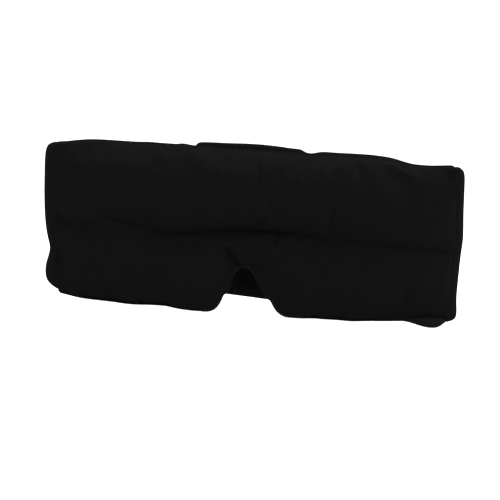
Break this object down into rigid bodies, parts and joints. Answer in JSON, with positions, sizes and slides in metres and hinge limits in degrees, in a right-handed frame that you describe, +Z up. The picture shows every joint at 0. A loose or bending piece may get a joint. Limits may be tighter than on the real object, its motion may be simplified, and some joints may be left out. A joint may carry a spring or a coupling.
{
  "type": "sleep mask",
  "caption": "Padded wrap-around eye mask with two front rolls, a nose notch and a rear band that laps and closes with a hook-and-loop patch.",
  "frame": {"origin": "middle of the closed loop, on the surface that its lower edge stands on", "axes": "+X across the face, to the right as seen from the front; -Y is the front that others see and +Y the back of the head; +Z up"},
  "size_m": [0.236, 0.0513, 0.092],
  "materials": {
    "cover_fabric": "matte",
    "lining_fabric": "matte",
    "padding": "matte",
    "blackout_film": "matte",
    "binding_tape": "matte",
    "loop_tape": "matte",
    "hook_tape": "satin",
    "thread": "satin",
    "label_cloth": "satin",
    "ribbon": "satin"
  },
  "bodies": {
    "front": {"front_cover": "cover_fabric", "brow_pad": "padding", "cheek_pad_left": "padding", "cheek_pad_right": "padding", "blackout_layer": "blackout_film", "face_lining": "lining_fabric", "notch_binding": "binding_tape", "bottom_hem_left": "cover_fabric", "bottom_hem_right": "cover_fabric", "top_seam_tape": "binding_tape", "left_front_seam": "cover_fabric", "right_front_seam": "cover_fabric"},
    "left_side": {"left_side_cover": "cover_fabric", "left_side_pad": "padding", "left_side_lining": "lining_fabric", "left_rear_seam": "cover_fabric"},
    "left_band": {"left_band_cover": "cover_fabric", "left_band_pad": "padding", "left_band_lining": "lining_fabric", "loop_patch": "loop_tape", "loop_stitches": "thread"},
    "right_side": {"right_side_cover": "cover_fabric", "right_side_pad": "padding", "right_side_lining": "lining_fabric", "right_rear_seam": "cover_fabric"},
    "right_band": {"right_band_cover": "cover_fabric", "right_band_pad": "padding", "right_band_lining": "lining_fabric", "hook_patch": "hook_tape", "hook_stitches": "thread", "care_label": "label_cloth"},
    "pull_tab": {"pull_tab": "ribbon"}
  },
  "joints": [
    {"name": "right_front_fold", "type": "hinge", "parent": "front", "child": "right_side", "pos_m": [0.11536, -0.01286, 0.046], "axis": [0, 0, -1], "range_deg": [0, 90]},
    {"name": "right_rear_fold", "type": "hinge", "parent": "right_side", "child": "right_band", "pos_m": [0.11536, 0.02286, 0.046], "axis": [0, 0, -1], "range_deg": [0, 90]},
    {"name": "left_front_fold", "type": "hinge", "parent": "front", "child": "left_side", "pos_m": [-0.11536, -0.01286, 0.046], "axis": [0, 0, 1], "range_deg": [0, 90]},
    {"name": "left_rear_fold", "type": "hinge", "parent": "left_side", "child": "left_band", "pos_m": [-0.11536, 0.01286, 0.046], "axis": [0, 0, 1], "range_deg": [0, 90]},
    {"name": "tab_fold", "type": "hinge", "parent": "right_band", "child": "pull_tab", "pos_m": [-0.0361, 0.022, 0.05], "axis": [0, 0, -1], "range_deg": [0, 80]}
  ],
  "couplings": [
    {"joint": "right_rear_fold", "follows": "right_front_fold", "ratio": 1},
    {"joint": "left_front_fold", "follows": "right_front_fold", "ratio": 1},
    {"joint": "left_rear_fold", "follows": "right_front_fold", "ratio": 1}
  ]
}
